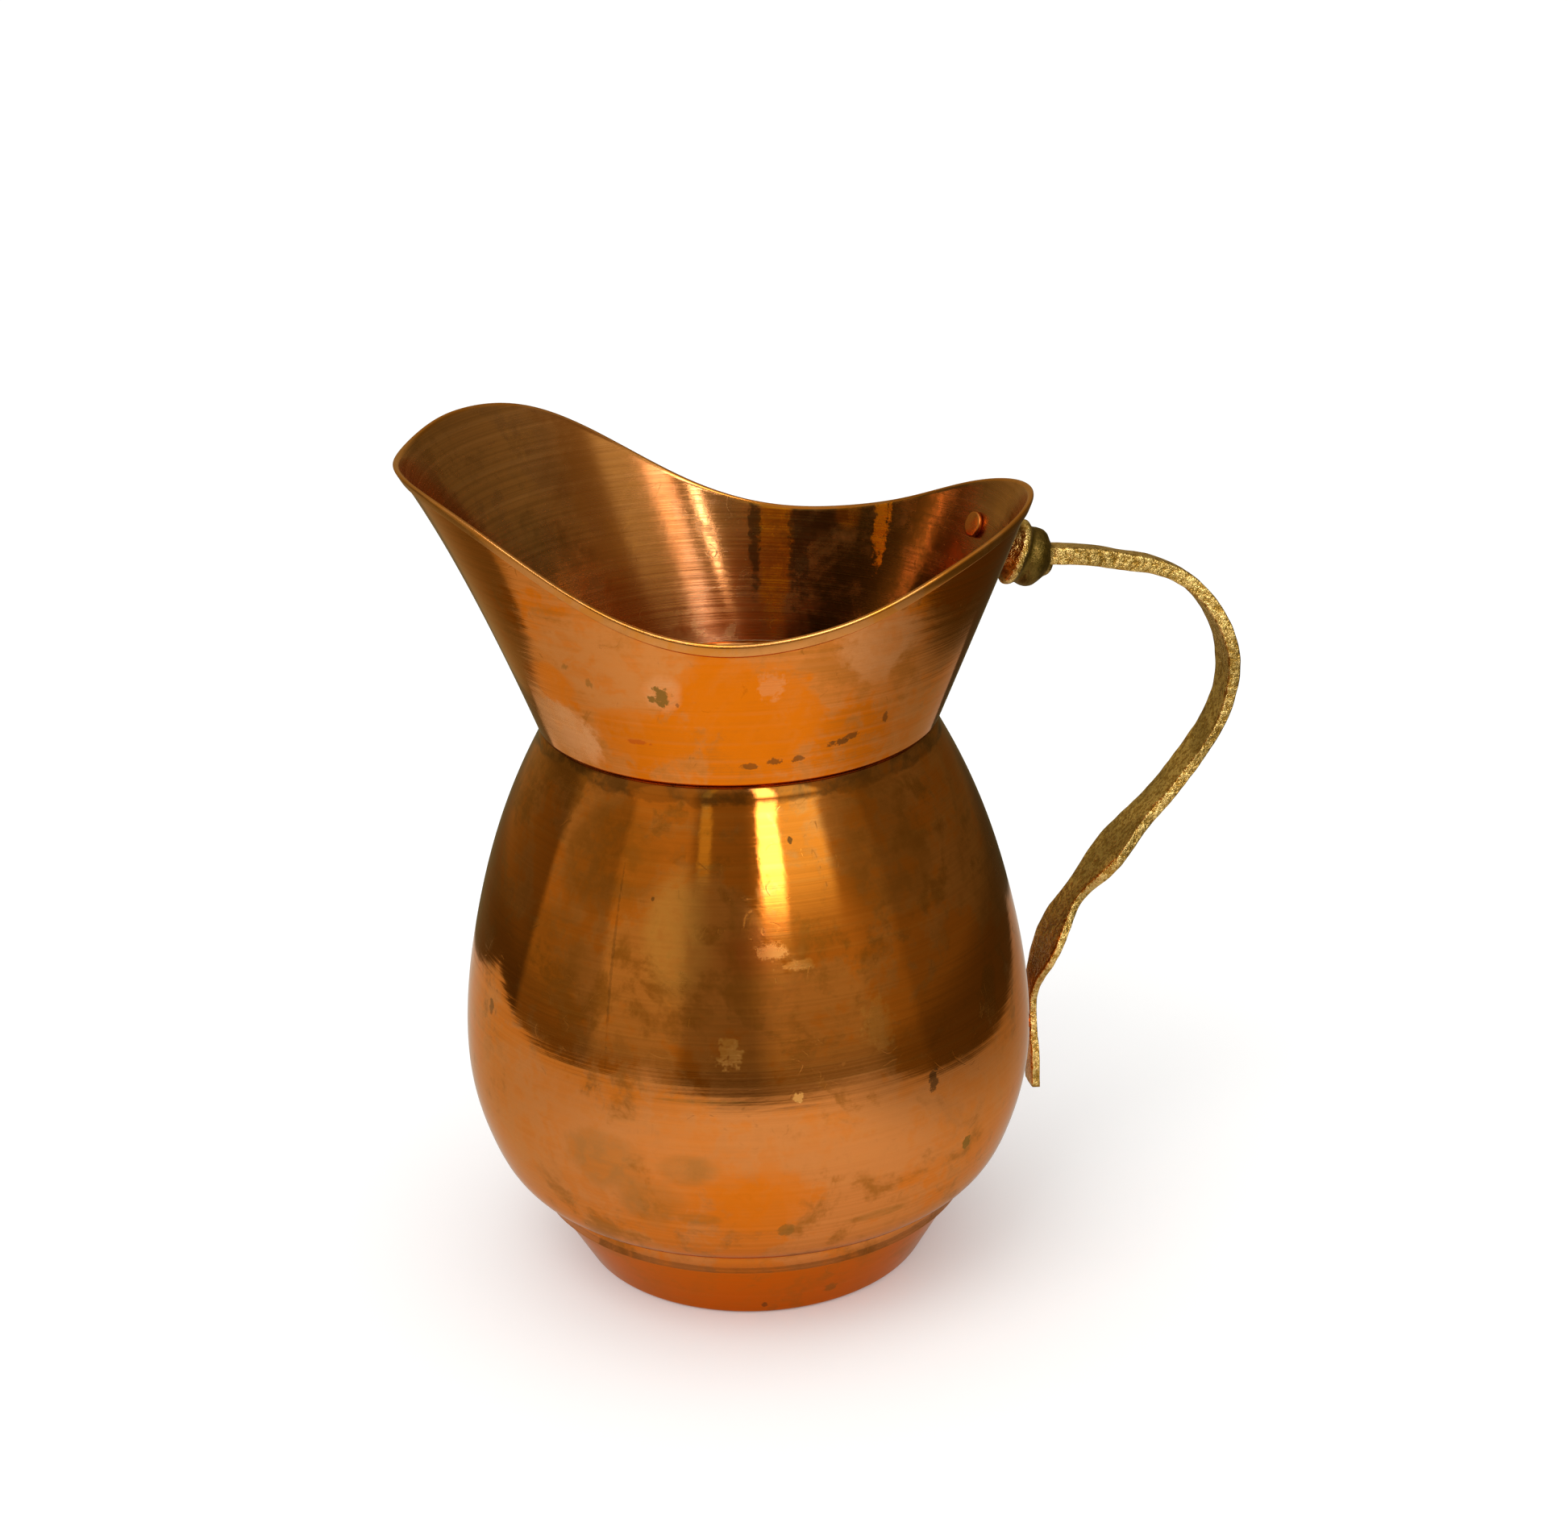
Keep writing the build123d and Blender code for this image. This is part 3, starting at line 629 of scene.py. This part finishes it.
def make_floor():
    """Pale floor; a reflection sees a table top of limited size, brightest in front, then the dark room."""
    mesh = bpy.data.meshes.new("floor")
    s = 6.0
    mesh.from_pydata([(-s, -s, 0), (s, -s, 0), (s, s, 0), (-s, s, 0)], [], [(0, 1, 2, 3)])
    floor = bpy.data.objects.new("floor", mesh)
    bpy.context.scene.collection.objects.link(floor)
    material, g = new_material("pale_floor")
    position = g.node("ShaderNodeNewGeometry").outputs["Position"]
    x, y, _ = g.node("ShaderNodeSeparateXYZ", {0: position}).outputs
    inside = g.band(x, -0.300, -0.285)
    inside = g.math("MULTIPLY", inside, g.math("SUBTRACT", 1.0, g.band(x, 0.190, 0.215)))
    inside = g.math("MULTIPLY", inside, g.band(y, -0.300, -0.290))
    inside = g.math("MULTIPLY", inside, g.math("SUBTRACT", 1.0, g.band(y, 0.170, 0.180)))
    steep = g.node("ShaderNodeSeparateXYZ", {0: g.node("ShaderNodeNewGeometry").outputs["Incoming"]}).outputs[2]
    slant = g.math("SUBTRACT", g.math("MULTIPLY", y, 0.419), g.math("MULTIPLY", x, 0.911))
    cut = g.math("MULTIPLY", g.band(steep, 0.36, 0.42), g.band(slant, 0.205, 0.213))
    inside = g.math("MULTIPLY", inside, g.math("SUBTRACT", 1.0, cut))
    away = g.node("ShaderNodeVectorMath", {0: position, 1: (0.0, -0.16, 0.0)}, operation="DISTANCE").outputs["Value"]
    bright_middle = g.math("SUBTRACT", 1.0, g.band(away, 0.06, 0.26))
    mirrored = g.mix(bright_middle, rgb(0.52, 0.51, 0.46), rgb(0.74, 0.73, 0.68))
    right_shade = g.math("SUBTRACT", 1.0, g.math("MULTIPLY", g.band(x, 0.06, 0.20), 0.4))
    mirrored = g.mix(1.0, mirrored, g.node("ShaderNodeCombineXYZ", {0: right_shade, 1: right_shade,
                                                                  2: right_shade}).outputs[0], "MULTIPLY")
    path = g.node("ShaderNodeLightPath")
    far = g.math("MULTIPLY", path.outputs["Is Glossy Ray"], g.math("SUBTRACT", 1.0, inside))
    colour = g.mix(path.outputs["Is Glossy Ray"], rgb(0.93, 0.93, 0.92), mirrored)
    table = g.node("ShaderNodeBsdfDiffuse", {0: colour})
    lit = g.node("ShaderNodeEmission", {0: colour, 1: 0.12})
    bright = g.node("ShaderNodeAddShader", {0: table.outputs[0], 1: lit.outputs[0]})
    turn = g.math("MULTIPLY", g.math("ARCTAN2", x, g.math("MULTIPLY", y, -1.0)), 180 / math.pi)
    middle = g.node("ShaderNodeVectorMath", {0: position}, operation="LENGTH").outputs["Value"]
    fade = g.blend_value(g.band(middle, 0.33, 0.75), 0.45, 0.9)
    fade = g.math("ADD", fade, g.math("MULTIPLY", cut, 0.5))
    dark = g.node("ShaderNodeEmission", {0: room_colour(g, turn), 1: fade})
    mixed = g.node("ShaderNodeMixShader", {0: far, 1: bright.outputs[0], 2: dark.outputs[0]})
    g.node("ShaderNodeOutputMaterial", {0: mixed.outputs[0]})
    mesh.materials.append(material)


def make_world():
    """White to the eye and to the floor; to polished metal a brown room with a window and a warm wall."""
    world = bpy.data.worlds.new("studio")
    bpy.context.scene.world = world
    world.use_nodes = True
    g = Graph(world.node_tree)
    way = g.node("ShaderNodeSeparateXYZ", {0: g.node("ShaderNodeTexCoord").outputs["Generated"]})
    x, y, z = way.outputs
    turn = g.math("MULTIPLY", g.math("ARCTAN2", x, g.math("MULTIPLY", y, -1.0)), 180 / math.pi)
    rise = g.math("MULTIPLY", g.math("ARCSINE", z), 180 / math.pi)

    def panel(left, right, bottom, full, soft):
        """1 between two directions, growing from 0 at one elevation to 1 at another."""
        mask = g.band(turn, left - soft, left + soft)
        mask = g.math("MULTIPLY", mask, g.math("SUBTRACT", 1.0, g.band(turn, right - soft, right + soft)))
        return g.math("MULTIPLY", mask, g.band(rise, bottom, full))

    colour = g.mix(g.band(rise, 30.0, 70.0), room_colour(g, turn), rgb(0.55, 0.52, 0.42))
    warm_wall = panel(8, 36, 7.0, 26.0, 3.0)
    colour = g.mix(warm_wall, colour, rgb(1.3, 1.5, 1.2))
    thin_light = panel(-30, -24, 19.0, 27.0, 1.2)
    colour = g.mix(thin_light, colour, rgb(0.62, 0.66, 0.3))
    window = g.math("MULTIPLY", panel(1.0, 12.0, 5.0, 27.0, 1.6), g.band(rise, 7.0, 24.0))
    colour = g.mix(window, colour, rgb(9.0, 8.8, 10.0))
    room = g.node("ShaderNodeBackground", {0: colour, 1: 1.0})
    white = g.node("ShaderNodeBackground", {0: rgb(1.0, 1.0, 1.0), 1: 1.0})
    path = g.node("ShaderNodeLightPath")
    mixed = g.node("ShaderNodeMixShader", {0: path.outputs["Is Glossy Ray"], 1: white.outputs[0], 2: room.outputs[0]})
    g.node("ShaderNodeOutputWorld", {0: mixed.outputs[0]})


def area_light(name, place, width, height, power):
    """A soft light aimed at the jug's middle."""
    light = bpy.data.lights.new(name, "AREA")
    light.shape = "RECTANGLE"
    light.size = width
    light.size_y = height
    light.energy = power
    lamp = bpy.data.objects.new(name, light)
    lamp.location = place
    lamp.rotation_euler = (Vector((0, 0, 0.12)) - Vector(place)).to_track_quat("-Z", "Y").to_euler()
    bpy.context.scene.collection.objects.link(lamp)
    return lamp


def make_lights():
    """A soft key light, and a narrow strip that only the collar reflects, seen inside its mouth."""
    key = area_light("key_light", (-0.5, -0.5, 0.9), 0.7, 0.7, 3.0)
    key.visible_glossy = False
    strip = area_light("mouth_strip", (-0.165, -1.12, 0.36), 0.04, 0.40, 0.7)
    lit = bpy.data.collections.new("lit_by_strip")
    lit.objects.link(collar)
    strip.light_linking.receiver_collection = lit


def make_camera():
    """Standing height of a person leaning over the table, 22 degrees down, a little tilted."""
    yaw, pitch, roll = math.radians(7.974), math.radians(21.802), math.radians(1.516)
    forward = Vector((math.sin(yaw) * math.cos(pitch), math.cos(yaw) * math.cos(pitch), -math.sin(pitch)))
    level = Vector((math.cos(yaw), -math.sin(yaw), 0))
    down = forward.cross(level)
    right = level * math.cos(roll) + down * math.sin(roll)
    up = level * math.sin(roll) - down * math.cos(roll)
    data = bpy.data.cameras.new("camera")
    data.lens = 62.93
    data.sensor_width = 36.0
    data.clip_start = 0.01
    camera = bpy.data.objects.new("camera", data)
    camera.matrix_world = Matrix((
        (right.x, up.x, -forward.x, -0.0642),
        (right.y, up.y, -forward.y, -0.5229),
        (right.z, up.z, -forward.z, 0.3185),
        (0, 0, 0, 1)))
    bpy.context.scene.collection.objects.link(camera)
    bpy.context.scene.camera = camera


make_floor()
make_world()
make_lights()
make_camera()
handle.visible_glossy = False
bpy.context.scene.view_settings.view_transform = "Standard"
